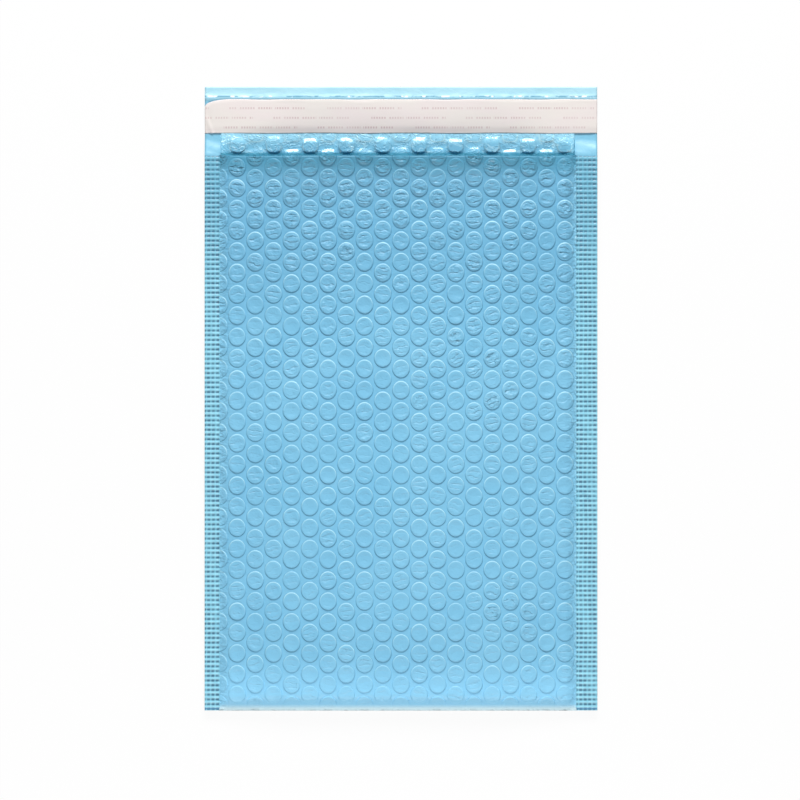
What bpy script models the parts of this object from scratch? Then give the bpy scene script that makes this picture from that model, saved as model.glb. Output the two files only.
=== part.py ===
"""Padded envelope: a bubble lined film mailer lying face up on its back.

Metres, +Z up. X runs across the envelope, +Y from the bottom fold to the flap, and Z = 0 is the
plane that the back lies on. The origin is under the middle of the whole length, flap included.
"""

import math

import bmesh
import bpy
from mathutils import Matrix, Vector

# Overall size
ENVELOPE_WIDTH = 0.216
POCKET_LENGTH = 0.305
FLAP_LENGTH = 0.038

# Side seams, crimped into ribs on the front
LEFT_SEAM_WIDTH = 0.008
RIGHT_SEAM_WIDTH = 0.0115
SEAM_THICKNESS = 0.0011
SEAM_HEIGHT = 0.003
RIB_PITCH = 0.0026
RIB_DEPTH = 0.0004

# Layers, from outside to inside
FILM_THICKNESS = 0.0004
CLEARANCE = 0.0003
LINING_THICKNESS = 0.003
BASE_FILM_THICKNESS = 0.0005

# Soft form of the filled-out pocket
EDGE_GAP = 0.0006
POCKET_PUFF = 0.0042
PUFF_RAMP = 0.050
FOLD_SHARE = 0.6
MOUTH_RISE = 0.005
MOUTH_RAMP = 0.045
SHOULDER_WIDTH = 0.004
SHOULDER_WALL = 0.0016
POCKET_MARGIN = 0.006

# Bubbles: their print on the front, and the open domes of the lining at the mouth
COLUMN_PITCH = 0.010
ROW_PITCH = 0.01173
PRINT_RIM = 0.0012
PRINT_RELIEF = 0.0004
DOME_DIAMETER = 0.0094
DOME_TOP_DIAMETER = 0.0062
DOME_SIDES = 6

# Closure on the flap, and how far past the lip the flap lies flat
FLAP_DROP = 0.010
LINER_FROM_LIP = 0.0119
LINER_WIDTH = 0.020
LINER_THICKNESS = 0.0003
LINER_CORNER_LENGTH = 0.014
LINER_CORNER_DROP = 0.0044
LINER_CORNER_STEPS = 6
ADHESIVE_WIDTH = 0.012
ADHESIVE_THICKNESS = 0.0003
ADHESIVE_END_MARGIN = 0.004

# Largest step of the grid that the hidden layers follow
GRID_STEP = 0.0155

# How far a piece reaches into the one that it is welded to, by how much its welded end is drawn
# in so that no two walls share a plane, and how far a cutter reaches past what it cuts
WELD_REACH = 0.0002
WELD_TAPER = 0.0001
CUT_REACH = 0.002

# Merging distance, and the angle in degrees under which two walls count as one plane
MERGE = 0.00001
FLAT_ANGLE = 0.1

# Places that follow from the sizes
LIP_Y = (POCKET_LENGTH - FLAP_LENGTH) / 2
FOLD_Y = LIP_Y - POCKET_LENGTH
FLAP_END_Y = LIP_Y + FLAP_LENGTH
LEFT_END_X = -ENVELOPE_WIDTH / 2
RIGHT_END_X = ENVELOPE_WIDTH / 2
LEFT_X = LEFT_END_X + LEFT_SEAM_WIDTH
RIGHT_X = RIGHT_END_X - RIGHT_SEAM_WIDTH
LINING_INSET = FILM_THICKNESS + CLEARANCE
POCKET_FLOOR_Z = LINING_INSET + LINING_THICKNESS
BASE_TOP_Z = LINING_INSET + BASE_FILM_THICKNESS
LINER_Y = LIP_Y + LINER_FROM_LIP
LINING_END_Y = LINER_Y - CLEARANCE
ADHESIVE_Z = FILM_THICKNESS + CLEARANCE
LINER_Z = ADHESIVE_Z + ADHESIVE_THICKNESS + CLEARANCE


def start_scene():
    """Empty scene with one collection for the envelope and one for its cutters."""
    for obj in list(bpy.data.objects):
        bpy.data.objects.remove(obj, do_unlink=True)
    parts = bpy.data.collections.new("padded_envelope")
    cutters = bpy.data.collections.new("cutters")
    for collection in (parts, cutters):
        bpy.context.scene.collection.children.link(collection)
    return parts, cutters


def plastic(name, color, roughness, alpha=1.0):
    """Principled material of a film, paper or glue."""
    material = bpy.data.materials.new(name)
    material.use_nodes = True
    shader = material.node_tree.nodes["Principled BSDF"]
    shader.inputs["Base Color"].default_value = (*color, 1.0)
    shader.inputs["Roughness"].default_value = roughness
    shader.inputs["Metallic"].default_value = 0.0
    shader.inputs["Alpha"].default_value = alpha
    return material


def ramp(share):
    """Smooth rise from 0 to 1."""
    share = min(max(share, 0.0), 1.0)
    return (1 - math.cos(math.pi * share)) / 2


def side_distance(x):
    """Distance from the nearer side seam."""
    return min(x - LEFT_X, RIGHT_X - x)


def pocket_gap(x, y):
    """Height of the air between the front's lining and the back's."""
    y = min(y, LIP_Y)
    puff = POCKET_PUFF * (FOLD_SHARE + (1 - FOLD_SHARE) * ramp((y - FOLD_Y) / PUFF_RAMP))
    rise = MOUTH_RISE * max(1 - (LIP_Y - y) / MOUTH_RAMP, 0.0) ** 2
    return EDGE_GAP + (puff + rise) * ramp(side_distance(x) / PUFF_RAMP)


def border_distance(x, y):
    """Distance from the nearest of the two side seams and the bottom fold."""
    return min(side_distance(x), y - FOLD_Y)


def shoulder(x, y, inset=0.0):
    """Share of the full height, from 0 at the border to 1 past the shoulder."""
    return min(max((border_distance(x, y) - inset) / SHOULDER_WIDTH, 0.0), 1.0)


def front_height(x, y, inset=0.0):
    """Height of the front at a depth of inset under its outer face."""
    edge = SEAM_HEIGHT + (SHOULDER_WALL - inset) / 2
    crown = 2 * POCKET_FLOOR_Z + pocket_gap(x, y) - inset
    return edge + (crown - edge) * shoulder(x, y, inset)


def mesh_object(name, bm, collection, material=None):
    """Object from a bmesh, in triangles."""
    bmesh.ops.triangulate(bm, faces=bm.faces[:])
    mesh = bpy.data.meshes.new(name)
    bm.to_mesh(mesh)
    bm.free()
    obj = bpy.data.objects.new(name, mesh)
    collection.objects.link(obj)
    if material:
        mesh.materials.append(material)
    return obj


def box(name, low, high, collection, material=None):
    """Box between two corners."""
    low, high = Vector(low), Vector(high)
    bm = bmesh.new()
    bmesh.ops.create_cube(bm, size=1.0)
    bmesh.ops.scale(bm, vec=high - low, verts=bm.verts)
    bmesh.ops.translate(bm, vec=(low + high) / 2, verts=bm.verts)
    return mesh_object(name, bm, collection, material)


def outline_solid(name, points, thickness, matrix, collection, material=None):
    """Solid of a flat outline, its thickness centred on the outline's plane."""
    curve = bpy.data.curves.new(name, "CURVE")
    curve.dimensions = "2D"
    curve.fill_mode = "BOTH"
    curve.extrude = thickness / 2
    spline = curve.splines.new("POLY")
    spline.points.add(len(points) - 1)
    for point, (u, v) in zip(spline.points, points):
        point.co = (u, v, 0, 1)
    spline.use_cyclic_u = True
    drawn = bpy.data.objects.new(name + "_outline", curve)
    collection.objects.link(drawn)
    graph = bpy.context.evaluated_depsgraph_get()
    mesh = bpy.data.meshes.new_from_object(drawn.evaluated_get(graph))
    bpy.data.objects.remove(drawn)
    bm = bmesh.new()
    bm.from_mesh(mesh)
    bmesh.ops.remove_doubles(bm, verts=bm.verts, dist=MERGE)
    bmesh.ops.transform(bm, matrix=matrix, verts=bm.verts)
    bmesh.ops.recalc_face_normals(bm, faces=bm.faces[:])
    return mesh_object(name, bm, collection, material)


def combine(obj, operation, tool):
    """Exact Boolean of an object with a tool, which shows as wire and stays out of renders."""
    tool.hide_render = True
    tool.display_type = "WIRE"
    modifier = obj.modifiers.new(tool.name, "BOOLEAN")
    modifier.operation = operation
    modifier.solver = "EXACT"
    modifier.object = tool


def even_lines(low, high):
    """Even coordinates from low to high."""
    count = math.ceil((high - low) / GRID_STEP)
    return [low + (high - low) * i / count for i in range(count + 1)]


def lines_across(inset):
    """Grid lines across the pocket: close on the ramps at its sides, none on the flat between."""
    low_end = min(LEFT_X + PUFF_RAMP, (LEFT_X + RIGHT_X) / 2)
    high_end = max(RIGHT_X - PUFF_RAMP, low_end)
    return sorted({*even_lines(LEFT_X + inset, low_end), *even_lines(high_end, RIGHT_X - inset)})


def lines_along(inset):
    """Grid lines along the pocket: close on the ramps at the fold and at the mouth."""
    low_end = min(FOLD_Y + PUFF_RAMP, (FOLD_Y + LIP_Y) / 2)
    high_end = max(LIP_Y - MOUTH_RAMP, low_end)
    return sorted({*even_lines(FOLD_Y + inset, low_end), *even_lines(high_end, LIP_Y)})


def coarse_sheet(xs, ys, height):
    """Sheet of quads over the given grid lines, at the heights of a function of x and y."""
    bm = bmesh.new()
    columns, rows = len(xs) - 1, len(ys) - 1
    bmesh.ops.create_grid(bm, x_segments=columns, y_segments=rows, size=0.5)
    for vert in bm.verts:
        x = xs[round((vert.co.x + 0.5) * columns)]
        y = ys[round((vert.co.y + 0.5) * rows)]
        vert.co = (x, y, height(x, y))
    return bm


def close_below(bm, z):
    """Close a sheet: walls go straight down from its border to z, where one flat face joins them."""
    border = [edge for edge in bm.edges if edge.is_boundary]
    walls = bmesh.ops.extrude_edge_only(bm, edges=border)["geom"]
    low = [item for item in walls if isinstance(item, bmesh.types.BMVert)]
    for vert in low:
        vert.co.z = z
    bmesh.ops.contextual_create(bm, geom=[edge for edge in bm.edges if edge.is_boundary])
    rim = set(low)
    edges = [edge for edge in bm.edges if rim.intersection(edge.verts)]
    bmesh.ops.dissolve_limit(bm, angle_limit=math.radians(FLAT_ANGLE), verts=low, edges=edges)
    bmesh.ops.recalc_face_normals(bm, faces=bm.faces[:])


def add_back(bm, z):
    """Take the flat lower face down to z, drawn in by a shoulder at the sides and the fold."""
    lowest = min(bm.faces, key=lambda face: face.calc_center_median().z)
    made = bmesh.ops.extrude_discrete_faces(bm, faces=[lowest])["faces"][0]
    for vert in made.verts:
        vert.co.x -= math.copysign(SHOULDER_WIDTH, vert.co.x)
        vert.co.y += SHOULDER_WIDTH if vert.co.y < 0 else 0.0
        vert.co.z = z


def coarse_loaf(inset, end_y):
    """Body of the envelope at a depth of inset under its outer face, as far as end_y."""
    xs = [LEFT_X + inset, *lines_across(inset + SHOULDER_WIDTH), RIGHT_X - inset]
    ys = [FOLD_Y + inset, *lines_along(inset + SHOULDER_WIDTH), end_y]
    bm = coarse_sheet(xs, ys, lambda x, y: front_height(x, y, inset))
    close_below(bm, SEAM_HEIGHT - (SHOULDER_WALL - inset) / 2)
    add_back(bm, inset)
    return bm


def lattice(x_low, x_high, y_low, y_high):
    """Bubble centres in staggered columns; every second column has a bubble cut by the lip."""
    for i in range(math.ceil(x_low / COLUMN_PITCH), math.floor(x_high / COLUMN_PITCH) + 1):
        first = LIP_Y - ROW_PITCH / 2 if i % 2 else LIP_Y
        for j in range(math.ceil((y_low - first) / ROW_PITCH), math.floor((y_high - first) / ROW_PITCH) + 1):
            yield i * COLUMN_PITCH, first + j * ROW_PITCH


def add_cell(bm, x, y):
    """Six-sided cell round one bubble, whose corners the neighbouring cells share."""
    turn = Matrix.Rotation(math.pi / 6, 4, "Z")
    stretch = Matrix.Diagonal((COLUMN_PITCH / 1.5, ROW_PITCH / math.sqrt(3), 1, 1))
    matrix = Matrix.Translation((x, y, 0)) @ stretch @ turn
    made = bmesh.ops.create_circle(bm, cap_ends=True, segments=6, radius=1.0, matrix=matrix)
    return made["verts"][0].link_faces[0]


def cut_sheet(bm, axis, place, side=0):
    """Cut a flat sheet across the given axis, and drop what lies past it on the given side."""
    point, normal = Vector((0, 0, 0)), Vector((0, 0, 0))
    point[axis], normal[axis] = place, side or 1
    made = bmesh.ops.bisect_plane(bm, geom=bm.verts[:] + bm.edges[:] + bm.faces[:], dist=MERGE,
                                  plane_co=point, plane_no=normal, clear_outer=side != 0)
    for item in made["geom_cut"]:
        if isinstance(item, bmesh.types.BMVert):
            item.co[axis] = place


def printed_sheet():
    """Front's outer face, with the flat-topped print of a bubble raised in each whole cell."""
    bm = bmesh.new()
    prints = []
    reach = max(COLUMN_PITCH, ROW_PITCH)
    for x, y in lattice(LEFT_X - reach, RIGHT_X + reach, FOLD_Y - reach, LIP_Y + reach):
        face = add_cell(bm, x, y)
        if border_distance(x, y) > DOME_DIAMETER / 2:
            prints.append(face)
    bmesh.ops.remove_doubles(bm, verts=bm.verts, dist=COLUMN_PITCH / 1000)
    bmesh.ops.inset_individual(bm, faces=prints, thickness=PRINT_RIM, use_even_offset=True)
    for face in prints:
        for vert in face.verts:
            vert.co.z = PRINT_RELIEF
    cut_sheet(bm, 0, LEFT_X, -1)
    cut_sheet(bm, 0, RIGHT_X, 1)
    cut_sheet(bm, 1, FOLD_Y, -1)
    cut_sheet(bm, 1, LIP_Y, 1)
    cut_sheet(bm, 0, LEFT_X + SHOULDER_WIDTH)
    cut_sheet(bm, 0, RIGHT_X - SHOULDER_WIDTH)
    cut_sheet(bm, 1, FOLD_Y + SHOULDER_WIDTH)
    for vert in bm.verts:
        x, y, relief = vert.co
        vert.co.z = front_height(x, y) + relief * shoulder(x, y)
    return bm


def rib_outline():
    """Side view of a seam's ribs along the envelope: V-shaped crests over a flat underside."""
    low = SEAM_HEIGHT - SEAM_THICKNESS / 2
    crest = SEAM_HEIGHT + SEAM_THICKNESS / 2
    first_y, last_y = FOLD_Y + WELD_TAPER, LIP_Y - WELD_TAPER
    count = round((last_y - first_y) / RIB_PITCH)
    pitch = (last_y - first_y) / count
    points = [(last_y, low), (first_y, low)]
    for i in range(count):
        start = first_y + i * pitch
        points += [(start, crest - RIB_DEPTH), (start + pitch / 2, crest)]
    points.append((last_y, crest - RIB_DEPTH))
    return points


def seam(name, low_x, high_x, collection):
    """Crimped side seam between two places across the envelope."""
    stand = Matrix(((0, 0, 1), (1, 0, 0), (0, 1, 0))).to_4x4()
    matrix = Matrix.Translation(((low_x + high_x) / 2, 0, 0)) @ stand
    return outline_solid(name, rib_outline(), high_x - low_x, matrix, collection)


def flap_height(x, y):
    """Underside of the flap, which drops from the seams' level to the floor past the lip."""
    rise = (SEAM_HEIGHT - SEAM_THICKNESS / 2) * (1 - shoulder(x, FOLD_Y + SHOULDER_WIDTH))
    return rise if y < LIP_Y + FLAP_DROP / 2 else 0.0


def flap(collection):
    """Film of the back past the lip, its root drawn in to a tongue inside the back and the seams."""
    xs = [LEFT_END_X, LEFT_X, LEFT_X + SHOULDER_WIDTH, RIGHT_X - SHOULDER_WIDTH, RIGHT_X, RIGHT_END_X]
    ys = [LIP_Y - WELD_REACH, LIP_Y + WELD_REACH, LIP_Y + FLAP_DROP, FLAP_END_Y]
    bm = coarse_sheet(xs, ys, flap_height)
    under = bm.verts[:]
    bmesh.ops.extrude_face_region(bm, geom=bm.faces[:], use_keep_orig=True)
    thickness = FILM_THICKNESS - WELD_TAPER / 2
    bmesh.ops.translate(bm, vec=(0, 0, thickness), verts=[v for v in bm.verts if v not in under])
    for vert in bm.verts:
        if vert.co.y < LIP_Y:
            vert.co.x -= math.copysign(WELD_TAPER, vert.co.x)
            vert.co.z += WELD_TAPER if vert in under else -WELD_TAPER
    bmesh.ops.recalc_face_normals(bm, faces=bm.faces[:])
    return mesh_object("flap", bm, collection)


def make_outer_film(parts, cutters):
    """Film web: printed front, bottom fold, back, flap and the two seams, round a cavity."""
    bm = printed_sheet()
    close_below(bm, SEAM_HEIGHT - SHOULDER_WALL / 2)
    add_back(bm, 0.0)
    film = mesh_object("outer_film", bm, parts, plastic("film_blue", (0.22, 0.53, 0.75), 0.45))
    combine(film, "UNION", seam("left_seam", LEFT_END_X, LEFT_X + WELD_REACH, cutters))
    combine(film, "UNION", seam("right_seam", RIGHT_X - WELD_REACH, RIGHT_END_X, cutters))
    combine(film, "UNION", flap(cutters))
    cavity = mesh_object("film_cavity", coarse_loaf(FILM_THICKNESS, LIP_Y + CUT_REACH), cutters)
    combine(film, "DIFFERENCE", cavity)
    return film


def pocket_cavity():
    """Air of the pocket between the two linings, open past the lip."""
    xs = lines_across(POCKET_MARGIN)
    ys = [*lines_along(POCKET_MARGIN), LIP_Y + CUT_REACH]
    bm = coarse_sheet(xs, ys, lambda x, y: POCKET_FLOOR_Z + pocket_gap(x, y))
    close_below(bm, POCKET_FLOOR_Z)
    return bm


def open_domes():
    """Bubbles of the back's lining that show on the flap, from the lip to the liner."""
    bm = bmesh.new()
    height = POCKET_FLOOR_Z - BASE_TOP_Z
    middle_z = (POCKET_FLOOR_Z + BASE_TOP_Z) / 2 - WELD_REACH
    for x, y in lattice(LEFT_X, RIGHT_X, LIP_Y, LINER_Y):
        if side_distance(x) > DOME_DIAMETER / 2:
            matrix = Matrix.Translation((x, y, middle_z))
            bmesh.ops.create_cone(bm, cap_ends=True, segments=DOME_SIDES, radius1=DOME_DIAMETER / 2,
                                  radius2=DOME_TOP_DIAMETER / 2, depth=height, matrix=matrix)
    return bm


def make_bubble_lining(parts, cutters):
    """Bubble film folded inside the film, with the pocket between its front and its back."""
    reach_x = ENVELOPE_WIDTH / 2 + CUT_REACH
    top_z = front_height(0, LIP_Y) + CUT_REACH
    past_y = LINING_END_Y + CUT_REACH
    bm = coarse_loaf(LINING_INSET, past_y)
    lining = mesh_object("bubble_lining", bm, parts, plastic("clear_blue", (0.28, 0.6, 0.77), 0.15, 0.6))
    combine(lining, "DIFFERENCE", mesh_object("pocket", pocket_cavity(), cutters))
    mouth = box("mouth", (-reach_x, LIP_Y, BASE_TOP_Z), (reach_x, FLAP_END_Y, top_z), cutters)
    combine(lining, "DIFFERENCE", mouth)
    combine(lining, "UNION", mesh_object("open_domes", open_domes(), cutters))
    end = box("lining_end", (-reach_x, LINING_END_Y, -CUT_REACH), (reach_x, FLAP_END_Y, top_z), cutters)
    combine(lining, "DIFFERENCE", end)
    return lining


def make_adhesive(parts):
    """Line of adhesive across the flap."""
    low_y = LINER_Y + (LINER_WIDTH - ADHESIVE_WIDTH) / 2
    low = (LEFT_END_X + ADHESIVE_END_MARGIN, low_y, ADHESIVE_Z)
    high = (RIGHT_END_X - ADHESIVE_END_MARGIN, low_y + ADHESIVE_WIDTH, ADHESIVE_Z + ADHESIVE_THICKNESS)
    return box("adhesive_strip", low, high, parts, plastic("adhesive", (0.75, 0.74, 0.66), 0.3))


def make_liner(parts):
    """Peel strip over the adhesive, its outer left corner worn to a long curve."""
    top = LINER_Y + LINER_WIDTH
    points = [(LEFT_END_X, LINER_Y), (RIGHT_END_X, LINER_Y), (RIGHT_END_X, top)]
    for i in range(LINER_CORNER_STEPS + 1):
        angle = math.pi / 2 * (1 + i / LINER_CORNER_STEPS)
        across = LINER_CORNER_LENGTH * (1 + math.cos(angle))
        drop = LINER_CORNER_DROP * (1 - math.sin(angle))
        points.append((LEFT_END_X + across, top - drop))
    matrix = Matrix.Translation((0, 0, LINER_Z + LINER_THICKNESS / 2))
    paper = plastic("liner_paper", (0.77, 0.72, 0.70), 0.6)
    return outline_solid("release_liner", points, LINER_THICKNESS, matrix, parts, paper)


def main():
    parts, cutters = start_scene()
    make_outer_film(parts, cutters)
    make_bubble_lining(parts, cutters)
    make_adhesive(parts)
    make_liner(parts)


main()
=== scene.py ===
"""Looks of the padded envelope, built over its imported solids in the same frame.

Film, lining and liner get meshes of their own in the places of the solids. The adhesive keeps its
solid. Lengths are metres, written as multiples of MM; colours are linear.
"""

import math

import bpy
import numpy as np
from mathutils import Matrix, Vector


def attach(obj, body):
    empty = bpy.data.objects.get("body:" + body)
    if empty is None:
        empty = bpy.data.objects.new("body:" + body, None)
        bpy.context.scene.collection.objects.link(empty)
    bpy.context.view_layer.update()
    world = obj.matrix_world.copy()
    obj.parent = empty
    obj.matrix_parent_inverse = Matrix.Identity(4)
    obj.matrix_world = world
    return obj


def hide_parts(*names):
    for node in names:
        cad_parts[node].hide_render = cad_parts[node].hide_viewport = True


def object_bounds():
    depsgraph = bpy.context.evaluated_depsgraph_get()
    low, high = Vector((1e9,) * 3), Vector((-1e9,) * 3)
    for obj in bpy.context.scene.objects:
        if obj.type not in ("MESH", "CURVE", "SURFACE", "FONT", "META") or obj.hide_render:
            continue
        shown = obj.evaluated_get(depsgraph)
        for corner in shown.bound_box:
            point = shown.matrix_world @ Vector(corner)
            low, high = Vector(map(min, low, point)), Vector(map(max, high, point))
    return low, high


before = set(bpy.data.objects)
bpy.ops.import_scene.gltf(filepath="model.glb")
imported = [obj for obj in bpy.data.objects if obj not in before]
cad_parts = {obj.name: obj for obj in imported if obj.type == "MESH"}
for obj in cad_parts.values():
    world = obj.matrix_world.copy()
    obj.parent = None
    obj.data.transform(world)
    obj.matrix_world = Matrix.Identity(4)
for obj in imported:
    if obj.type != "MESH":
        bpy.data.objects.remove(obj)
cad_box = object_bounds()

MM = 0.001

# Places shared with the solids, counted from the ends of their box
(LEFT_END_X, FOLD_Y, _), (RIGHT_END_X, FLAP_END_Y, _) = np.round(cad_box, 6).tolist()
LEFT_SEAM, RIGHT_SEAM, FLAP_LENGTH = 8 * MM, 11.5 * MM, 38 * MM
LEFT_X, RIGHT_X = LEFT_END_X + LEFT_SEAM, RIGHT_END_X - RIGHT_SEAM
LIP_Y = FLAP_END_Y - FLAP_LENGTH
LINER_Y = LIP_Y + 11.9 * MM
LINER_TOP_Y = LINER_Y + 20 * MM
SEAM_Z = 3 * MM
WALL = 1.6 * MM
POCKET_FLOOR_Z = 3.7 * MM
BASE_TOP_Z = 1.2 * MM
LAYER_INSET = 0.7 * MM
COLUMN_PITCH, ROW_PITCH = 10 * MM, 11.73 * MM

# Bubble prints of the film: half width and half length, and the rings of points over them
DISC_X, DISC_Y = 4.9 * MM, 5.2 * MM
PRINT_RINGS = (0.35, 0.6, 0.8, 0.92, 0.95, 0.975, 1.0, 1.05)
BACK_RINGS = (0.5, 0.8, 0.88, 0.96, 1.02)
PRINT_RELIEF = 0.52 * MM
CROWDING = 3.5 * MM  # how far the rows are drawn up at the fold
LIP_PULL = 1.1 * MM
UPPER_ROWS = 13  # rows in the upper one of the front's two pieces

# Bubbles of the lining, open at the mouth and on the flap
DOME_X, DOME_Y = 4.8 * MM, 4.7 * MM
DOME_RINGS = (0.3, 0.48, 0.62, 0.72, 0.8, 0.87, 0.93, 1.0)
DOME_START_Y = LIP_Y - 4 * ROW_PITCH
LINING_SIDES = (LEFT_X + 1.2 * MM, RIGHT_X - 1.2 * MM)
LINING_FOLD_Y = FOLD_Y + 6 * MM

# Crimped seams: ribs along them, and pits across each rib
RIB_PITCH, PIT_PITCH = 2.6 * MM, 2.45 * MM
LEFT_PIT_X, RIGHT_PIT_X = -105.8 * MM, 98.95 * MM
SEAM_OVERLAP = 0.4 * MM

# Steps in millimetres by which the front turns over at the lip and at the fold
LIP_ROLL = ((0, 0.22, -0.09), (0, 0.16, -0.18), (0, 0.02, -0.18), (0, -0.2, -0.1), (0, -2, -0.7))
FOLD_ROLL = ((0, -0.08, -0.12), (0, -0.02, -0.3), (0, 0.04, -0.4), (0, 0.22, -0.25))

# Colours of the film's outer face, with painted light and shade among them
FILM_DEEP, FILM_PALE = (0.198, 0.535, 0.775), (0.222, 0.565, 0.80)
FILM_UPPER_SHADE, FILM_LOWER_LIGHT = (0.165, 0.465, 0.69), (0.285, 0.68, 0.96)
FILM_SEAM_LIGHT, FILM_LIP_SHADE = (0.29, 0.69, 0.95), (0.08, 0.325, 0.49)
FOLD_PAINTED_LIGHT = (0.68, 0.92, 1.0)
CREST_PAINTED_HIGHLIGHT, FOOT_SHADE = (0.55, 0.90, 1.0), (0.05, 0.27, 0.43)
SEAM_DEEP, SEAM_PALE, SEAM_UPPER_SHADE = (0.30, 0.72, 0.90), (0.38, 0.83, 1.0), (0.12, 0.42, 0.60)
PIT_SHADE, SEAM_END_SHADE = (0.03, 0.15, 0.25), (0.05, 0.22, 0.45)

# Colours of the flap's inside, where the band lies past the liner
FLAP_DEEP, FLAP_PALE = (0.195, 0.52, 0.72), (0.25, 0.585, 0.78)
BAND_DEEP, BAND_PALE = (0.40, 0.72, 0.86), (0.47, 0.78, 0.90)
BAND_SHADE, BAND_GLINT = (0.10, 0.33, 0.48), (0.9, 0.97, 1.0)

# Colours of the lining, the liner, its dashes and the adhesive
LINING_BY_LIP, LINING_BY_LINER = (0.165, 0.53, 0.76), (0.33, 0.75, 0.97)
LINING_STREAK, LINING_RIM_HIGHLIGHT, MOUTH_PAINTED_SHADE = (0.50, 0.86, 1.0), (0.55, 0.92, 1.0), (0.07, 0.37, 0.54)
LINER_ROSE, LINER_CREAM, DASH = (0.82, 0.745, 0.73), (0.81, 0.76, 0.725), (0.60, 0.44, 0.45)
ADHESIVE_DEEP, ADHESIVE_PALE = (0.66, 0.66, 0.58), (0.76, 0.75, 0.68)


# Curves

def ramp(share):
    """Smooth rise from 0 to 1."""
    return (1 - np.cos(np.pi * np.clip(share, 0, 1))) / 2


def round_rise(share):
    """Quarter round from 0 to 1, level at its end."""
    return np.sin(np.pi / 2 * np.clip(share, 0, 1))


def smoothstep(low, high, value):
    """Smooth rise from 0 at low to 1 at high; a fall where high is the smaller one."""
    share = np.clip((value - low) / (high - low), 0, 1)
    return share * share * (3 - 2 * share)


def bell(value, middle, width):
    """Rise to 1 at the middle value and back to 0 on both sides."""
    return np.exp(-((value - middle) / width) ** 2)


def side_distance(x):
    """Distance in from the nearer side seam, negative on the seam."""
    return np.minimum(x - LEFT_X, RIGHT_X - x)


def near_seam(x, reach):
    """1 on the side seams, fading toward the middle."""
    return np.exp(-np.maximum(side_distance(x), 0) / reach)


# Heights of the layers

def pocket_gap(x, y):
    """Height of the air between the two linings, as in the solids."""
    least, puff, mouth_rise = 0.6 * MM, 4.2 * MM, 5 * MM
    fold_reach, mouth_reach, side_reach = 50 * MM, 34 * MM, 50 * MM
    y = np.minimum(y, LIP_Y)
    filled = 0.6 + 0.4 * ramp((y - FOLD_Y) / fold_reach)
    rise = mouth_rise * np.maximum(1 - (LIP_Y - y) / mouth_reach, 0) ** 2
    return least + (puff * filled + rise) * ramp(side_distance(x) / side_reach)


def shoulder(x, y, width=7 * MM, fold_width=9 * MM):
    """Round rise of the film from its border, from 0 to 1, longer at the fold."""
    return round_rise(side_distance(x) / width) * round_rise((y - FOLD_Y) / fold_width)


def back_shoulder(x, y):
    """The same for the back, which lies on the floor and turns up more sharply."""
    return shoulder(x, y, 5 * MM, 5 * MM)


def slack(x, y):
    """Long shallow waves of the filled-out film, within half a millimetre."""
    long = np.sin(x / (31 * MM) + 1.3 * np.sin(y / (47 * MM))) * np.sin(y / (38 * MM) + 0.7)
    short = np.sin(x / (17 * MM) - y / (29 * MM) + 2) * np.sin(y / (21 * MM) + x / (55 * MM))
    return 0.28 * MM * (long + 0.6 * short)


def front_height(x, y, inset=0.0):
    """Height of the front at a depth of inset under its outer face."""
    edge = SEAM_Z + WALL / 2 - 0.35 * MM
    crown = 2 * POCKET_FLOOR_Z + pocket_gap(x, y) + slack(x, y)
    return edge + (crown - edge) * shoulder(x, y) - inset * (0.4 + 0.6 * shoulder(x, y))


def back_height(x, y):
    """Height of the back's underside, which lies flat inside its shoulders."""
    return (SEAM_Z - WALL / 2) * (1 - back_shoulder(x, y))


def seam_share(y):
    """1 at the lip, where the flap hangs at the seams' height, and 0 where it meets the floor."""
    return 1 - ramp((y - LIP_Y) / (11 * MM))


def flap_height(x, y):
    """Height of the flap's underside, which drops to the floor past the lip."""
    inside = np.clip(side_distance(x) / (5 * MM), 0, 1)
    return (SEAM_Z - 0.55 * MM) * seam_share(y) * (1 - inside)


def pull_back(flat):
    """Move points near the lip inward, as far as the filled-out mouth draws the film back."""
    x, y = flat.T
    filled = round_rise(side_distance(x) / (20 * MM))
    flat[:, 1] -= LIP_PULL * filled * smoothstep(LIP_Y - 32 * MM, LIP_Y, y)


def crowd(flat):
    """Move points up from the fold, more the nearer they are to it."""
    share = (LIP_Y - flat[:, 1]) / (LIP_Y - FOLD_Y + CROWDING)
    flat[:, 1] += CROWDING * share ** 3


# Meshes

def chance(middles, seed, low=0.0, high=1.0):
    """Random value of each bubble, the same for all the points of its cell."""
    mixed = np.sin(middles[:, 0] * 12989.8 + middles[:, 1] * 78233.1 + seed * 37.7) * 43758.5453
    return low + (high - low) * (mixed - np.floor(mixed))


def padded(values, count):
    """Values followed by zeros up to a given count."""
    return np.concatenate([values, np.zeros(count - len(values))])


def mesh_object(name, points, faces, material, attributes=None, smooth=True):
    """Object from arrays of points and lists of faces, with extra values at its points."""
    mesh = bpy.data.meshes.new(name)
    mesh.from_pydata(np.asarray(points).tolist(), [], faces)
    mesh.validate()
    for key, values in (attributes or {}).items():
        layer = mesh.attributes.new(key, "FLOAT", "POINT")
        layer.data.foreach_set("value", padded(values, len(points)).astype(np.float32))
    mesh.polygons.foreach_set("use_smooth", [smooth] * len(mesh.polygons))
    mesh.materials.append(material)
    obj = bpy.data.objects.new(name, mesh)
    bpy.context.scene.collection.objects.link(obj)
    return obj


def lattice(x_low, x_high, y_low, y_high):
    """Bubble centres in staggered columns that touch the given range."""
    centres = []
    for i in range(math.floor(x_low / COLUMN_PITCH), math.ceil(x_high / COLUMN_PITCH) + 1):
        first = LIP_Y - ROW_PITCH / 2 if i % 2 else LIP_Y
        low = math.floor((y_low - first) / ROW_PITCH)
        high = math.ceil((y_high - first) / ROW_PITCH)
        centres += [(i * COLUMN_PITCH, first + j * ROW_PITCH) for j in range(low, high + 1)]
    return np.array(centres)


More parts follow.
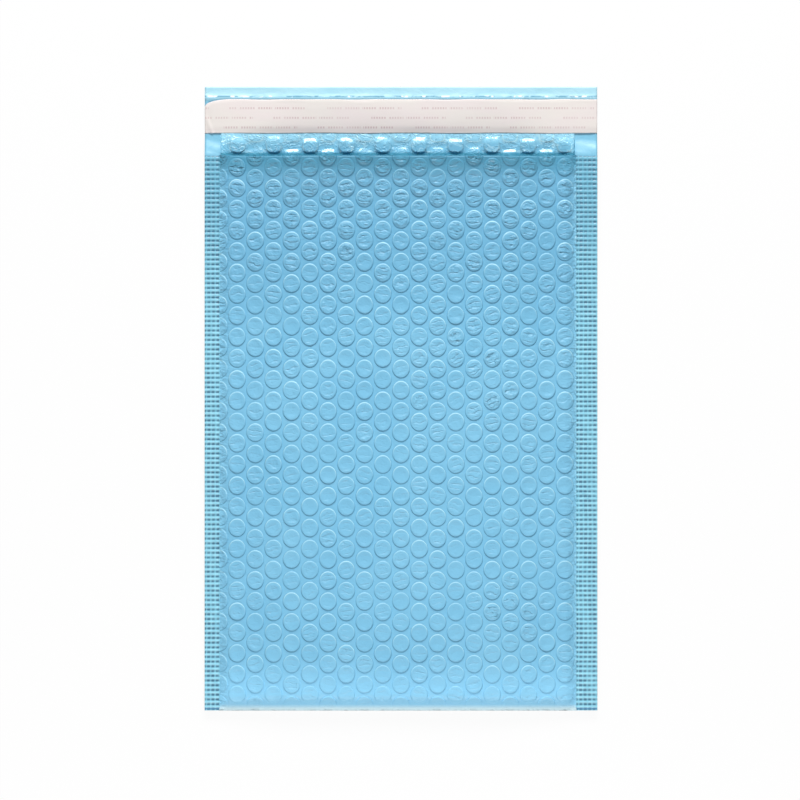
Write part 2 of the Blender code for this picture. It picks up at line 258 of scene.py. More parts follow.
def unit_cell(rings, half_x, half_y, parts):
    """Points of one bubble's six-sided cell, from its middle out, and how many are on each ring."""
    corners = [(COLUMN_PITCH / 1.5 * math.cos(math.pi / 3 * k),
                ROW_PITCH / math.sqrt(3) * math.sin(math.pi / 3 * k)) for k in range(7)]
    border = [np.array(a) + (np.array(b) - a) * part / parts
              for a, b in zip(corners[:-1], corners[1:]) for part in range(parts)]
    border = np.array(border)
    angles = np.arctan2(border[:, 1], border[:, 0])
    rim = np.stack([half_x * np.cos(angles), half_y * np.sin(angles)], axis=1)
    points = np.concatenate([np.zeros((1, 2)), *[rim * share for share in rings], border])
    return points, len(border)


def unit_faces(ring_count, count):
    """Faces of one cell: quads that repeat a corner round its middle, then rings of quads."""
    turn = np.arange(count)
    after = (turn + 1) % count
    middle = np.zeros(count, dtype=int)
    faces = [np.stack([middle, 1 + turn, 1 + after, middle], axis=1)]
    for ring in range(ring_count):
        inner, outer = 1 + ring * count, 1 + (ring + 1) * count
        faces.append(np.stack([inner + turn, outer + turn, outer + after, inner + after], axis=1))
    return np.concatenate(faces)


def merge_close(points):
    """Where each distinct point first stands, and which of them each point is."""
    step, span = 0.002 * MM, 1_000_000
    keys = np.floor(points / step + 0.3).astype(np.int64)
    _, first, index = np.unique(keys[:, 0] * span + keys[:, 1],
                                return_index=True, return_inverse=True)
    return first, index.reshape(-1)


def drop_flat_faces(points, faces):
    """Faces with an area, as lists that name each corner once."""
    p, q, r, s = (points[faces[:, corner]] for corner in range(4))
    whole, fan = np.abs(np.cross(r - p, s - q)), np.abs(np.cross(q - p, r - p))
    kept = faces[np.maximum(whole, fan) > 1e-12]
    lists = [list(dict.fromkeys(face)) for face in kept.tolist()]
    return [face for face in lists if len(face) > 2]


def bubble_sheet(x_range, y_range, rings, half_x, half_y, parts=6):
    """Flat sheet of bubble cells cut to a rectangle: points, ring shares, cell middles, faces."""
    centres = lattice(*x_range, *y_range)
    unit, count = unit_cell(rings, half_x, half_y, parts)
    points = (centres[:, None, :] + unit[None, :, :]).reshape(-1, 2)
    points[:, 0] = np.clip(points[:, 0], *x_range)
    points[:, 1] = np.clip(points[:, 1], *y_range)
    first, index = merge_close(points)
    starts = np.arange(len(centres)) * len(unit)
    cells = starts[:, None, None] + unit_faces(len(rings), count)[None]
    merged = points[first]
    middles = np.repeat(centres, len(unit), axis=0)[first]
    shares = np.hypot(*((merged - middles) / (half_x, half_y)).T)
    return merged, shares, middles, drop_flat_faces(merged, index[cells.reshape(-1, 4)])


def border_row(flat, axis, place):
    """Points that lie on one straight border, in order along it."""
    row = np.nonzero(np.abs(flat[:, axis] - place) < 0.001 * MM)[0]
    return row[np.argsort(flat[row, 1 - axis])]


def add_skirt(points, faces, row, steps):
    """Strips of faces that go on from a row of border points, one for each (x, y, z) step."""
    last = np.asarray(row)
    for step in steps:
        made = points[last] + np.asarray(step)
        fresh = np.arange(len(points), len(points) + len(last))
        points = np.concatenate([points, made])
        faces += np.stack([last[:-1], last[1:], fresh[1:], fresh[:-1]], axis=1).tolist()
        last = fresh
    return points, faces


def add_side_skirts(points, faces, flat, sides, out, up):
    """One strip along each side, that goes on outward and up, or down where up is negative."""
    for place, sign in zip(sides, (-1, 1)):
        row = border_row(flat, 0, place)
        points, faces = add_skirt(points, faces, row, [(sign * out, 0, up)])
    return points, faces


def grid_faces(columns, rows, start=0, flip=False):
    """Quads of a grid whose points run row by row."""
    i, j = np.meshgrid(np.arange(columns - 1), np.arange(rows - 1))
    low = (start + j * columns + i).reshape(-1)
    order = [low, low + 1, low + columns + 1, low + columns]
    return np.stack(order[::-1] if flip else order, axis=1).tolist()


def add_grid(points, faces, xs, ys, height):
    """Plain grid over xs and ys, at the height that a function of x and y gives."""
    x, y = (part.reshape(-1) for part in np.meshgrid(xs, ys))
    faces += grid_faces(len(xs), len(ys), len(points))
    return np.concatenate([points, np.column_stack([x, y, height(x, y)])]), faces


def closed_sheet(name, xs, ys, top, bottom, material, attributes=None):
    """Closed thin piece over a grid: its upper and lower faces and the rim between them."""
    columns, rows = len(xs), len(ys)
    x, y = (part.reshape(-1) for part in np.meshgrid(xs, ys))
    count = len(x)
    points = np.concatenate([top(x, y), bottom(x, y)])
    faces = grid_faces(columns, rows) + grid_faces(columns, rows, count, True)
    rim = [*range(columns), *[r * columns + columns - 1 for r in range(1, rows)],
           *[(rows - 1) * columns + c for c in range(columns - 2, -1, -1)],
           *[r * columns for r in range(rows - 2, 0, -1)]]
    for a, b in zip(rim, rim[1:] + rim[:1]):
        faces.append([b, a, a + count, b + count])
    return mesh_object(name, points, faces, material, attributes)


# Materials

class Paint:
    """Node tree of one material, written as short calls that return sockets."""

    def __init__(self, name, roughness, coat=0.0, coat_roughness=0.1):
        self.material = bpy.data.materials.new(name)
        self.material.use_nodes = True
        self.nodes = self.material.node_tree.nodes
        self.links = self.material.node_tree.links
        self.shader = self.nodes["Principled BSDF"]
        self.shader.inputs["Roughness"].default_value = roughness
        self.shader.inputs["Coat Weight"].default_value = coat
        self.shader.inputs["Coat Roughness"].default_value = coat_roughness
        self.place = self.nodes.new("ShaderNodeTexCoord").outputs["Object"]
        split = self.nodes.new("ShaderNodeSeparateXYZ")
        self.links.new(self.place, split.inputs[0])
        self.x, self.y, _ = split.outputs

    def feed(self, socket, value):
        """Link a socket to another one, or set its constant."""
        if isinstance(value, bpy.types.NodeSocket):
            self.links.new(value, socket)
        else:
            socket.default_value = value

    def math(self, operation, *values):
        node = self.nodes.new("ShaderNodeMath")
        node.operation = operation
        for socket, value in zip(node.inputs, values):
            self.feed(socket, value)
        return node.outputs[0]

    def times(self, first, second):
        return self.math("MULTIPLY", first, second)

    def distance(self, value, middle):
        return self.math("ABSOLUTE", self.math("SUBTRACT", value, middle))

    def noise(self, scale, stretch=(1, 1, 1), detail=2.0, distortion=0.0):
        """Noise of a given number of patches per metre along each axis times stretch."""
        mapping = self.nodes.new("ShaderNodeMapping")
        mapping.inputs["Scale"].default_value = stretch
        self.links.new(self.place, mapping.inputs["Vector"])
        node = self.nodes.new("ShaderNodeTexNoise")
        node.inputs["Scale"].default_value = scale
        node.inputs["Detail"].default_value = detail
        node.inputs["Distortion"].default_value = distortion
        self.links.new(mapping.outputs[0], node.inputs["Vector"])
        return node.outputs["Fac"]

    def value(self, name):
        """Value that the mesh carries at its points."""
        node = self.nodes.new("ShaderNodeAttribute")
        node.attribute_name = name
        return node.outputs["Fac"]

    def remap(self, value, low, high, to_low=0.0, to_high=1.0):
        """Smooth change from one value at low to another at high."""
        node = self.nodes.new("ShaderNodeMapRange")
        node.interpolation_type = "SMOOTHSTEP"
        for socket, item in zip(node.inputs, (value, low, high, to_low, to_high)):
            self.feed(socket, item)
        return node.outputs[0]

    def mix(self, share, first, second):
        """Colour between two colours."""
        node = self.nodes.new("ShaderNodeMix")
        node.data_type = "RGBA"
        self.feed(node.inputs["Factor"], share)
        for socket, color in ((node.inputs[6], first), (node.inputs[7], second)):
            linked = isinstance(color, bpy.types.NodeSocket)
            self.feed(socket, color if linked else (*color, 1.0))
        return node.outputs[2]

    def tint(self, color, *tints):
        """Colour after a number of tints, each a share and a colour, laid over it in turn."""
        for share, over in tints:
            color = self.mix(share, color, over)
        return color

    def color(self, value):
        self.feed(self.shader.inputs["Base Color"], value)

    def roughness(self, value):
        self.feed(self.shader.inputs["Roughness"], value)

    def bump(self, height, depth):
        """Add a relief, whose height of 1 is as deep as given, to the ones before it."""
        node = self.nodes.new("ShaderNodeBump")
        node.inputs["Distance"].default_value = depth
        self.links.new(height, node.inputs["Height"])
        normal = self.shader.inputs["Normal"]
        if normal.is_linked:
            self.links.new(normal.links[0].from_socket, node.inputs["Normal"])
        self.links.new(node.outputs[0], normal)


def film_material():
    """Satin blue film: fine haze, creases inside the bubbles' prints, wrinkles by the seams,
    painted light and shade in its colour.
    """
    paint = Paint("film_blue", roughness=0.4)
    y, edge, crease = paint.y, paint.value("edge"), paint.value("crease")
    haze = paint.remap(paint.noise(38, detail=3), 0.3, 0.7)
    paint.color(paint.tint(
        paint.mix(haze, FILM_DEEP, FILM_PALE),
        # painted shade: darker from 20 mm up toward the mouth
        (paint.remap(y, 20 * MM, 90 * MM), FILM_UPPER_SHADE),
        # painted light by the side seams, making up for the shade on the film's slope there
        (paint.remap(edge, 0.25, 1.1), FILM_SEAM_LIGHT),
        # painted highlight on the prints' crests
        (paint.value("rim"), CREST_PAINTED_HIGHLIGHT),
        (paint.value("foot"), FOOT_SHADE),
        # painted light: brighter over the last 33 mm toward the fold
        (paint.remap(y, FOLD_Y + 33.5 * MM, FOLD_Y + 3 * MM), FILM_LOWER_LIGHT),
        # painted light: pale over the last 4 mm at the fold
        (paint.remap(y, FOLD_Y + 0.5 * MM, FOLD_Y + 4 * MM, 1.0, 0.0), FOLD_PAINTED_LIGHT),
        # painted shade: darker over the last 15 mm before the lip
        (paint.remap(y, LIP_Y - 15.5 * MM, LIP_Y - 2 * MM), FILM_LIP_SHADE),
    ))
    paint.roughness(paint.remap(paint.noise(900, detail=1), 0.2, 0.8, 0.36, 0.46))

    wander = paint.math("SUBTRACT", paint.noise(240, (1, 1.4, 1), detail=1), 0.5)
    line = paint.math("ADD", paint.value("fold"), paint.times(wander, 1.1))
    groove = paint.remap(paint.math("PINGPONG", line, 0.5), 0.0, 0.24, 1.0, 0.0)
    paint.bump(paint.times(paint.times(groove, crease), -1.0), depth=0.55 * MM)
    crumple = paint.noise(230, (1, 1.7, 1), detail=1, distortion=1)
    paint.bump(paint.times(crumple, crease), depth=1.2 * MM)
    paint.bump(paint.noise(230, (1, 1.3, 1), distortion=1), depth=0.3 * MM)
    gathers = paint.noise(260, (0.35, 1.3, 1), distortion=0.8)
    paint.bump(paint.times(gathers, edge), depth=2.3 * MM)
    paint.bump(paint.noise(1500), depth=0.012 * MM)
    return paint.material


def seam_material():
    """Crimped film: the same blue, a little glossier where the crimper pressed it, with painted
    shade in its pits, toward the lip and along its last rib.
    """
    paint = Paint("film_crimped", roughness=0.34)
    from_last_rib = paint.distance(paint.y, FOLD_Y + 1 * MM)
    paint.color(paint.tint(
        paint.mix(paint.remap(paint.noise(300), 0.3, 0.7), SEAM_DEEP, SEAM_PALE),
        # painted shade: darker toward the lip
        (paint.remap(paint.y, 30 * MM, LIP_Y, 0.0, 0.62), SEAM_UPPER_SHADE),
        (paint.times(paint.value("pit"), 1.3), PIT_SHADE),
        (paint.remap(from_last_rib, 0.1 * MM, 0.6 * MM, 0.7, 0.0), SEAM_END_SHADE),
    ))
    paint.roughness(paint.remap(paint.noise(700, detail=1), 0.2, 0.8, 0.28, 0.42))
    paint.bump(paint.noise(800), depth=0.05 * MM)
    return paint.material


def flap_material():
    """Inner side of the film on the flap: glossy, faintly rippled, paler past the liner."""
    paint = Paint("film_inner", roughness=0.42, coat=0.1, coat_roughness=0.2)
    line_y = LINER_TOP_Y + 0.9 * MM
    line = paint.remap(paint.distance(paint.y, line_y), 0.15 * MM, 0.75 * MM, 1.0, 0.0)
    broken = paint.remap(paint.noise(190, (1, 2.2, 1), distortion=0.6), 0.42, 0.58, 0.0, 0.85)
    glint = paint.remap(paint.noise(330, (1, 1.5, 1), detail=1, distortion=0.5), 0.60, 0.68)
    tone, band_tone = paint.noise(60, detail=3), paint.noise(45, (1, 3, 1))
    paint.color(paint.tint(
        paint.mix(paint.remap(tone, 0.3, 0.7), FLAP_DEEP, FLAP_PALE),
        (paint.remap(paint.y, LINER_TOP_Y - 2.4 * MM, LINER_TOP_Y + 1.6 * MM),
         paint.mix(paint.remap(band_tone, 0.35, 0.65), BAND_DEEP, BAND_PALE)),
        (paint.times(line, broken), BAND_SHADE),
        (paint.times(line, glint), BAND_GLINT),
    ))
    paint.bump(paint.noise(150, (1, 1.4, 1), distortion=1), depth=0.25 * MM)
    return paint.material


def lining_material():
    """Clear bubble film over the blue film: glossy, with painted shade and less gloss down in the
    mouth.
    """
    paint = Paint("bubble_clear_blue", roughness=0.16, coat=1.0, coat_roughness=0.06)
    # painted shade down in the mouth under the lip, where coat and gloss drop too
    out_of_mouth_shade = paint.remap(paint.y, LIP_Y + 1.2 * MM, LIP_Y + 2.6 * MM)
    paint.feed(paint.shader.inputs["Coat Weight"], paint.times(out_of_mouth_shade, 0.6))
    paint.roughness(paint.remap(out_of_mouth_shade, 0.0, 1.0, 0.6, 0.18))
    toward_liner = paint.remap(paint.y, LIP_Y + 4 * MM, LINER_Y)
    streaks = paint.noise(230, (1, 1.4, 1), detail=3, distortion=1.2)
    color = paint.tint(
        paint.mix(toward_liner, LINING_BY_LIP, LINING_BY_LINER),
        (paint.remap(streaks, 0.54, 0.66, 0.0, 0.45), LINING_STREAK),
        # painted highlight round the domes' lower edges
        (paint.value("rim"), LINING_RIM_HIGHLIGHT),
    )
    paint.color(paint.mix(out_of_mouth_shade, MOUTH_PAINTED_SHADE, color))
    creases = paint.distance(paint.noise(170, (1, 1.3, 1), distortion=1.5), 0.5)
    paint.bump(paint.remap(creases, 0.0, 0.08, 1.0, 0.0), depth=0.16 * MM)
    return paint.material


def liner_material():
    """Off-white coated strip with faint rows of plain dashes."""
    paint = Paint("liner_paper", roughness=0.5)
    first_row_y, row_pitch, row_shift = LINER_Y + 3.8 * MM, 5.3 * MM, 24.3 * MM
    rows = paint.math("DIVIDE", paint.math("SUBTRACT", paint.y, first_row_y), row_pitch)
    row = paint.math("ROUND", rows)
    off = paint.times(paint.distance(rows, row), row_pitch)
    along = paint.math("ADD", paint.x, paint.times(row, row_shift))
    positive = paint.math("ADD", along, 1.0)

    def filled(pitch, share):
        """1 in the first part of each pitch along the rows, and 0 in the rest."""
        part = paint.math("FRACT", paint.math("DIVIDE", positive, pitch))
        return paint.math("LESS_THAN", part, share)

    words = paint.times(filled(1.45 * MM, 0.6), filled(9.6 * MM, 0.84))
    dashes = paint.times(words, filled(53 * MM, 0.79))
    in_row = paint.remap(off, 0.4 * MM, 0.7 * MM, 1.0, 0.0)
    faded = paint.remap(paint.noise(45, detail=1), 0.3, 0.7, 0.39, 0.78)
    tone = paint.remap(paint.noise(30, (1, 2.5, 1)), 0.35, 0.65)
    plain = paint.mix(tone, LINER_ROSE, LINER_CREAM)
    paint.color(paint.mix(paint.times(paint.times(dashes, in_row), faded), plain, DASH))
    paint.bump(paint.noise(120, (0.4, 1.5, 1)), depth=0.1 * MM)
    return paint.material


def adhesive_material():
    """Clear hot-melt adhesive."""
    paint = Paint("adhesive_clear", roughness=0.22, coat=0.4)
    paint.color(paint.mix(paint.noise(240), ADHESIVE_DEEP, ADHESIVE_PALE))
    paint.bump(paint.noise(500, (0.3, 1, 1)), depth=0.04 * MM)
    return paint.material


# Film

def print_profile(share):
    """Height of a bubble's print: a shallow dish, a crest, a quick fall, a groove at its foot."""
    dish = 0.1 + 0.9 * smoothstep(0.3, 0.9, share)
    return dish * (1 - smoothstep(0.92, 1.0, share)) - 0.25 * bell(share, 1, 0.045)


def patch(x, y, middle, reach):
    """1 in the middle of an oval patch of the front, given in mm, fading to 0 around it."""
    return bell(x, middle[0] * MM, reach[0] * MM) * bell(y, middle[1] * MM, reach[1] * MM)


def crease_strength(x, y):
    """How creased the prints are: most near the mouth and in two patches."""
    near_mouth = smoothstep(40 * MM, 118 * MM, y)
    right = 0.9 * patch(x, y, (48, 18), (34, 28))
    low = 0.9 * patch(x, y, (64, -113), (16, 16))
    return 0.26 + 0.74 * np.maximum.reduce([near_mouth, right, low])


def slant(x, y):
    """How steeply the creases run across: up to the right in the middle and low patches."""
    return patch(x, y, (40, 20), (20, 30)) + patch(x, y, (-60, -90), (30, 40))


def print_values(x, y, shares, middles):
    """Values that the film's material reads: its creases and wrinkles, the painted light by the
    seams, the painted highlight on the prints' crests and the painted shade at their feet.
    """
    from_x, from_y = x - middles[:, 0], y - middles[:, 1]
    crease = np.clip(crease_strength(x, y) * chance(middles, 2, 0.3, 1.6), 0, 1)
    tilt = chance(middles, 3, -0.25, 0.25) + 0.5 * slant(*middles.T)
    period = chance(middles, 10, 2.4, 4.8) * MM
    # painted highlight on each print's crest, strongest on its upper side
    rim = bell(shares, 0.9, 0.05) * smoothstep(-2.5 * MM, 4 * MM, from_y)
    # painted shade at each print's foot, strongest on its lower side
    foot = bell(shares, 0.985, 0.035) * chance(middles, 11, 0.6, 1.0)
    return {
        "crease": crease * (1 - smoothstep(0.6, 0.87, shares)),
        "fold": (from_y - tilt * from_x) / period + chance(middles, 4),
        "edge": near_seam(x, 3.6 * MM),
        "rim": rim * chance(middles, 9, 0.4, 0.95),
        "foot": foot * (0.25 + 0.75 * smoothstep(1 * MM, -4 * MM, from_y)),
    }


def make_front(name, y_range, material):
    """Part of the front film, with the prints of the bubbles."""
    flat, shares, middles, faces = bubble_sheet((LEFT_X, RIGHT_X), y_range, PRINT_RINGS,
                                                DISC_X, DISC_Y)
    at_lip = y_range[1] == LIP_Y
    crowd(flat)
    crowd(middles)
    border = border_row(flat, 1, LIP_Y if at_lip else FOLD_Y)
    pull_back(flat)
    pull_back(middles)
    x, y = flat.T
    relief = PRINT_RELIEF * chance(middles, 1, 0.75, 1.15) * print_profile(shares)
    z = front_height(x, y) + (relief - 0.3 * MM) * shoulder(x, y)
    points, faces = add_side_skirts(np.column_stack([flat, z]), faces, flat, (LEFT_X, RIGHT_X),
                                    out=0.1 * MM, up=-0.8 * MM)
    steps = np.array(LIP_ROLL if at_lip else FOLD_ROLL) * MM
    points, faces = add_skirt(points, faces, border, steps)
    return mesh_object(name, points, faces, material, print_values(x, y, shares, middles))


def make_back(material):
    """Back film: flat on the floor, the bubbles' prints pressed level with it."""
    flat, shares, _, faces = bubble_sheet((LEFT_X, RIGHT_X), (FOLD_Y, LIP_Y), BACK_RINGS,
                                          DISC_X, DISC_Y, parts=4)
    x, y = flat.T
    valley = 0.26 * MM * (1 - print_profile(shares)) * back_shoulder(x, y)
    points = np.column_stack([flat, back_height(x, y) + valley])
    points, faces = add_side_skirts(points, faces, flat, (LEFT_X, RIGHT_X),
                                    out=0.1 * MM, up=0.8 * MM)
    return mesh_object("film_back", points, [face[::-1] for face in faces], material)


def seam_pits(x, y):
    """Rows of short pits that the crimper leaves across the seam, from 0 to 1."""
    groove = 0.5 + 0.5 * np.cos(2 * np.pi * (y - LIP_Y) / RIB_PITCH)
    first = np.where(x < 0, LEFT_PIT_X, RIGHT_PIT_X)
    sway = 0.5 * np.sin(y / (9 * MM))
    between = 0.5 + 0.5 * np.cos(2 * np.pi * (x - first) / PIT_PITCH + sway)
    uneven = 0.85 + 0.15 * np.sin(x / (1.9 * MM) + y / (7 * MM)) * np.sin(y / (11 * MM))
    return groove * (0.5 + 0.5 * smoothstep(0.05, 0.6, between)) * uneven


def make_seam(name, x_low, x_high, material):
    """Side seam: a thin closed strip with crimped faces, its inner edge on the panel's slope."""
    column_width, rows_in_rib = 0.4 * MM, 6
    half_wall, top_relief, bottom_relief = 0.52 * MM, 0.58 * MM, 0.3 * MM
    xs = np.linspace(x_low, x_high, round((x_high - x_low) / column_width) + 1)
    ys = np.linspace(FOLD_Y, LIP_Y, round((LIP_Y - FOLD_Y) / (RIB_PITCH / rows_in_rib)) + 1)

    def middle(x, y):
        slope = front_height(x, y) - front_height(np.full_like(x, LEFT_X), y)
        return SEAM_Z + np.where(side_distance(x) > 0, slope + 0.12 * MM, 0.0)

    def top(x, y):
        relief = top_relief * seam_pits(x, y) * near_seam(x, 1.2 * MM)
        return np.column_stack([x, y, middle(x, y) + half_wall - relief])

    def bottom(x, y):
        relief = bottom_relief * seam_pits(x, y)
        return np.column_stack([x, y, middle(x, y) - half_wall + relief])

    pits = seam_pits(*(part.reshape(-1) for part in np.meshgrid(xs, ys)))
    return closed_sheet(name, xs, ys, top, bottom, material, {"pit": np.tile(pits, 2)})


def make_flap(material):
    """Film of the flap: drops from the seams to the floor, rippled along the liner's edges."""
    wall = 0.35 * MM
    xs = np.linspace(LEFT_END_X, RIGHT_END_X, 181)
    ys = np.linspace(LIP_Y - 1 * MM, FLAP_END_Y, 61)

    def ripple(x, y):
        band = bell(y, LINER_TOP_Y + 0.2 * MM, 1.6 * MM)
        along = 0.5 + 0.5 * np.sin(x / (2.1 * MM) + 2.2 * np.sin(x / (9.5 * MM)))
        sides = near_seam(x, 4 * MM) * smoothstep(LINER_Y + 0.6 * MM, LINER_Y - 3.4 * MM, y)
        folds = 0.5 + 0.5 * np.sin(y / (0.95 * MM) + 1.4 * np.sin(x / (3.3 * MM)))
        far = 0.5 + 0.5 * np.sin(x / (13 * MM) + y / (2.7 * MM))
        return (band * (0.45 + 0.3 * along) + 0.16 * sides * folds + 0.14 * far) * MM

    def bottom(x, y):
        return np.column_stack([x, y, flap_height(x, y) + 0.4 * ripple(x, y)])

    def top(x, y):
        return np.column_stack([x, y, flap_height(x, y) + wall + ripple(x, y)])

    return closed_sheet("film_flap", xs, ys, top, bottom, material)


# Lining and liner

def dome_profile(share):
    """Height of an air bubble over its foot: a flat top and long soft sides."""
    return 1 - smoothstep(0.76, 1.0, share)


def lining_room(x):
    """1 where the domes have room for their full height, and 0 at the lining's sides."""
    return np.clip((side_distance(x) - 1.2 * MM) / (5 * MM), 0, 1)


def make_back_lining(material):
    """Lining of the back: open domes from inside the mouth to the liner, plain deeper in."""
    flat, _, middles, faces = bubble_sheet(LINING_SIDES, (DOME_START_Y, LINER_Y + 2 * MM),
                                           DOME_RINGS, DOME_X, DOME_Y)
    x, y = flat.T
    from_x, from_y = x - middles[:, 0], y - middles[:, 1]
    squareness = 3
    shares = np.abs((flat - middles) / (DOME_X, DOME_Y)) ** squareness
    shares = shares.sum(axis=1) ** (1 / squareness)
    pressed = np.where(middles[:, 1] > LINER_Y - 3 * MM, 0.3, 1.0)
    height = 1.15 * MM * chance(middles, 5, 0.8, 1.1) * pressed
    facet = height - chance(middles, 6, 0.16, 0.62) * np.maximum(from_y - 1.7 * MM, 0)
    facet -= chance(middles, 12, -0.1, 0.1) * from_x
    rise = np.minimum(height * dome_profile(shares), np.maximum(facet, 0)) * lining_room(x)
    rise *= 1 - smoothstep(LINER_Y - 2.5 * MM, LINER_Y + 0.5 * MM, y)
    # painted highlight: a bright line round the lower side of some domes
    rim = bell(shares, 0.84, 0.06) * smoothstep(1.5 * MM, -1.2 * MM, from_y)
    rim *= chance(middles, 7, 0.35, 0.95)
    base = BASE_TOP_Z - 0.2 * MM * smoothstep(LIP_Y, LINER_Y, y)
    side = (SEAM_Z - base) * (1 - lining_room(x)) * seam_share(y)
    points, faces = add_side_skirts(np.column_stack([flat, base + rise + side]), faces, flat,
                                    LINING_SIDES, out=0.5 * MM, up=-0.6 * MM)
    points, faces = add_grid(
        points, faces, np.linspace(*LINING_SIDES, 12), np.linspace(LINING_FOLD_Y, DOME_START_Y, 24),
        lambda x, y: np.full_like(x, POCKET_FLOOR_Z - 0.4 * MM))
    return mesh_object("lining_back", points, faces, material, {"rim": rim})


def make_front_lining(material):
    """Lining of the front: domes that hang down inside the mouth, plain deeper in."""
    flat, shares, middles, faces = bubble_sheet(LINING_SIDES, (DOME_START_Y, LIP_Y),
                                                DOME_RINGS, DOME_X, DOME_Y)
    pull_back(flat)
    x, y = flat.T
    hang = 2.6 * MM * chance(middles, 8, 0.75, 1.0) * dome_profile(shares) * lining_room(x)
    points = np.column_stack([flat, front_height(x, y, LAYER_INSET + 0.3 * MM) - hang])
    points, faces = add_grid(
        points, faces, np.linspace(*LINING_SIDES, 28), np.linspace(LINING_FOLD_Y, DOME_START_Y, 36),
        lambda x, y: front_height(x, y, 3 * MM))
    return mesh_object("lining_front", points, [face[::-1] for face in faces], material)


def make_liner(material):
    """Peel strip: its long edges bend down to the flap, its outer left corner is worn round."""
    middle_z, wall = 1.4 * MM, 0.08 * MM
    corner_x, corner_y = 14 * MM, 4 * MM
    xs = np.linspace(LEFT_END_X, RIGHT_END_X, 271)
    shares = np.concatenate([np.linspace(0, 0.12, 5), np.linspace(0.16, 0.84, 16),
                             np.linspace(0.88, 1, 5)])

    def bottom(x, share):
        across = np.clip((x - LEFT_END_X) / corner_x, 0, 1)
        high = LINER_TOP_Y - 0.7 * MM - corner_y * (1 - np.sqrt(1 - (1 - across) ** 2))
        high += 0.16 * MM * np.sin(x / (5.3 * MM)) * np.sin(x / (17 * MM))
        low = LINER_Y + 0.6 * MM + 0.12 * MM * np.sin(x / (8 * MM) + 1)
        from_high = (1 - share) * (LINER_TOP_Y - LINER_Y)
        bend = 0.15 * MM * (1 - smoothstep(0, 1.4 * MM, from_high))
        bend += 0.35 * MM * (1 - smoothstep(0, 0.2, share))
        wave = 0.10 * MM * np.sin(x / (14 * MM) + 3 * share) + 0.06 * MM * np.sin(x / (4.3 * MM))
        wave *= (1 - 0.5 * (from_high < 1.4 * MM)) * smoothstep(0, 0.25, share)
        crease_x = LEFT_END_X + 2.2 * MM - 6 * MM * (share - 0.3)
        lift = 0.5 * MM * bell(x, crease_x, 0.7 * MM) * smoothstep(0.62, 0.45, share)
        drop = 0.4 * MM * (1 - smoothstep(0, 5 * MM, RIGHT_END_X - np.abs(x)))
        return np.column_stack([x, low + (high - low) * share,
                                middle_z - bend + wave + lift - drop])

    def top(x, share):
        return bottom(x, share) + (0, 0, wall)

    return closed_sheet("liner_strip", xs, shares, top, bottom, material)


# Studio

def make_floor():
    """Plain white floor that keeps the envelope's shadow."""
    half, gap = 4.0, 0.05 * MM
    points = [(-half, -half, 0), (half, -half, 0), (half, half, 0), (-half, half, 0)]
    paint = Paint("floor_white", roughness=0.9)
    paint.shader.inputs["Base Color"].default_value = (0.93, 0.93, 0.93, 1)
    glow = paint.nodes.new("ShaderNodeEmission")
    glow.inputs["Color"].default_value = (1, 1, 1, 1)
    ray = paint.nodes.new("ShaderNodeLightPath").outputs
    mirrored = paint.math("MAXIMUM", ray["Is Glossy Ray"], ray["Is Transmission Ray"])
    seen = paint.math("MAXIMUM", ray["Is Camera Ray"], mirrored)
    blend = paint.nodes.new("ShaderNodeMixShader")
    paint.feed(blend.inputs[0], paint.times(seen, 0.92))
    paint.links.new(paint.shader.outputs[0], blend.inputs[1])
    paint.links.new(glow.outputs[0], blend.inputs[2])
    paint.links.new(blend.outputs[0], paint.nodes["Material Output"].inputs["Surface"])
    floor = mesh_object("floor", points, [[0, 1, 2, 3]], paint.material, smooth=False)
    floor.location.z = -gap


def softbox(name, size, energy, elevation, distance, middle_y=0.0):
    """Rectangular light past the flap, or past the fold where its distance is negative."""
    data = bpy.data.lights.new(name, "AREA")
    data.shape = "RECTANGLE"
    data.size, data.size_y = size
    data.energy = energy
    angle = math.radians(elevation)
    height = abs(distance) * math.sin(angle)
    light = bpy.data.objects.new(name, data)
    light.location = (0, middle_y + distance * math.cos(angle), height)
    light.rotation_euler = (-math.copysign(math.pi / 2 - angle, distance), 0, 0)
    bpy.context.scene.collection.objects.link(light)


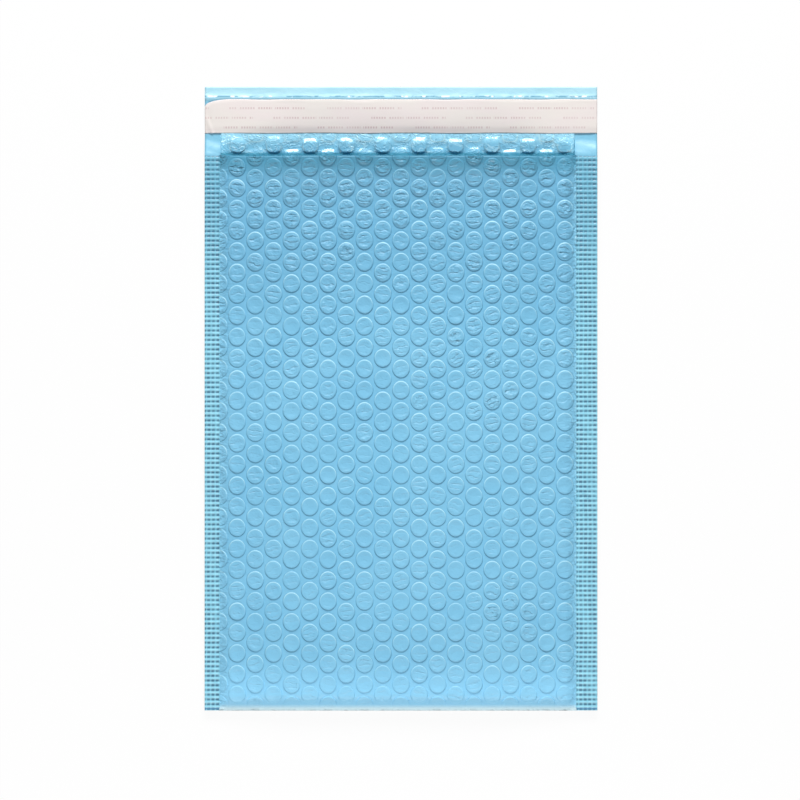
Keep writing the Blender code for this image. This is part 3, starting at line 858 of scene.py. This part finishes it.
def make_world():
    """White for the camera and in reflections, and dimmer as a light on the envelope."""
    ambient = 0.22
    world = bpy.data.worlds.new("studio")
    world.use_nodes = True
    nodes, links = world.node_tree.nodes, world.node_tree.links
    ray = nodes.new("ShaderNodeLightPath").outputs
    first, second, strength = (nodes.new("ShaderNodeMath") for _ in range(3))
    first.operation = second.operation = "MAXIMUM"
    links.new(ray["Is Camera Ray"], first.inputs[0])
    links.new(ray["Is Glossy Ray"], first.inputs[1])
    links.new(first.outputs[0], second.inputs[0])
    links.new(ray["Is Transmission Ray"], second.inputs[1])
    strength.operation = "MULTIPLY_ADD"
    links.new(second.outputs[0], strength.inputs[0])
    strength.inputs[1].default_value = 1 - ambient
    strength.inputs[2].default_value = ambient
    background = nodes["Background"]
    background.inputs["Color"].default_value = (1, 1, 1, 1)
    links.new(strength.outputs[0], background.inputs["Strength"])
    bpy.context.scene.world = world


def make_camera():
    """Camera straight above, flap at the top of the picture."""
    distance, view_width = 2.4, 0.44
    data = bpy.data.cameras.new("camera")
    data.sensor_width = 36
    data.lens = data.sensor_width * (distance - SEAM_Z) / view_width
    data.clip_start, data.clip_end = 0.1, 20
    camera = bpy.data.objects.new("camera", data)
    camera.location = (-0.55 * MM, -0.8 * MM, distance)
    bpy.context.scene.collection.objects.link(camera)
    bpy.context.scene.camera = camera


def dress(obj, node):
    """A piece of the scene takes the place of a CAD node."""
    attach(obj, "root")
    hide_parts(node)


def main():
    film, lining, crimped = film_material(), lining_material(), seam_material()
    middle_y = LIP_Y - UPPER_ROWS * ROW_PITCH
    films = [
        make_front("film_front_upper", (middle_y, LIP_Y), film),
        make_front("film_front_lower", (FOLD_Y - CROWDING, middle_y), film),
        make_back(film),
        make_seam("seam_left", LEFT_END_X, LEFT_X + SEAM_OVERLAP, crimped),
        make_seam("seam_right", RIGHT_X - SEAM_OVERLAP, RIGHT_END_X, crimped),
        make_flap(flap_material()),
    ]
    for obj in films:
        dress(obj, "outer_film")
    for obj in (make_back_lining(lining), make_front_lining(lining)):
        dress(obj, "bubble_lining")
    dress(make_liner(liner_material()), "release_liner")
    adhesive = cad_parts["adhesive_strip"]
    adhesive.data.materials.clear()
    adhesive.data.materials.append(adhesive_material())
    make_floor()
    softbox("main_light", (1.1, 0.5), energy=26.5, elevation=33, distance=1.6)
    softbox("fill_light", (0.8, 0.3), energy=3.4, elevation=48, distance=-0.75, middle_y=-0.18)
    make_world()
    make_camera()
    bpy.context.scene.view_settings.view_transform = "Standard"


main()
